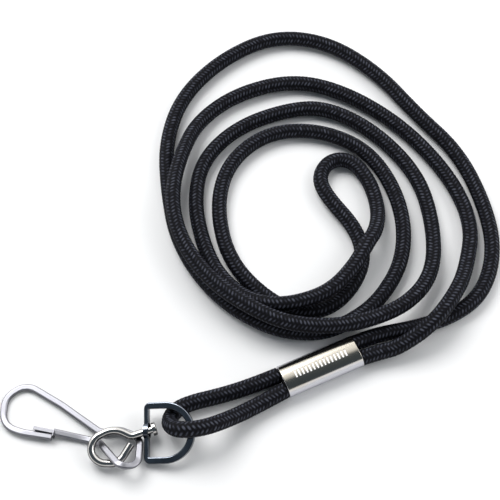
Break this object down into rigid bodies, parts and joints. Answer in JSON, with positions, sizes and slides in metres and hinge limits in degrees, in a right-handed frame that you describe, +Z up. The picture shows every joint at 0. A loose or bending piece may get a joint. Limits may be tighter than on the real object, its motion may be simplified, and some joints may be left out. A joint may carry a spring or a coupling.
{
  "type": "lanyard",
  "caption": "Round-cord neck lanyard coiled on a surface, its two strands crimped in a flattened metal sleeve, with a D-ring, swivel eye and bent-wire snap hook",
  "frame": {"origin": "On the surface the lanyard lies on, straight below the middle of the crimp sleeve.", "axes": "+Z up. -X is toward the hook end, +Y is the way the coiled neck loop spreads. The sleeve is turned 24 degrees from X."},
  "size_m": [0.1501, 0.1523, 0.0121],
  "materials": {
    "sleeve_metal": "polished nickel plate",
    "cord_braid": "tight round braid",
    "ring_metal": "polished nickel plate",
    "hook_wire": "satin nickel plate"
  },
  "bodies": {
    "strap": {"crimp_sleeve": "sleeve_metal", "crimped_cord": "cord_braid", "neck_cord": "cord_braid", "hook_loop_cord": "cord_braid"},
    "ring": {"d_ring": "ring_metal"},
    "swivel": {"swivel_eye": "ring_metal"},
    "hook": {"hook_body": "hook_wire"},
    "gate": {"hook_gate": "hook_wire"}
  },
  "joints": [
    {"name": "ring_swing", "type": "hinge", "parent": "strap", "child": "ring", "pos_m": [-0.0375, -0.0202, 0.006], "axis": [0, 1, 0], "range_deg": [0, 35]},
    {"name": "swivel_spin", "type": "hinge", "parent": "ring", "child": "swivel", "pos_m": [-0.0603, -0.0233, 0.0034], "axis": [0.9455, 0.3256, 0.0052], "continuous": true},
    {"name": "hook_swing", "type": "hinge", "parent": "swivel", "child": "hook", "pos_m": [-0.0585, -0.0283, 0.0026], "axis": [-0.9446, -0.3281, 0], "range_deg": [0, 50]},
    {"name": "gate_flex", "type": "hinge", "parent": "hook", "child": "gate", "pos_m": [-0.06565, -0.02188, 0.00095], "axis": [0, 0, -1], "range_deg": [0, 12], "stiffness_Nm_per_rad": 0.1}
  ]
}
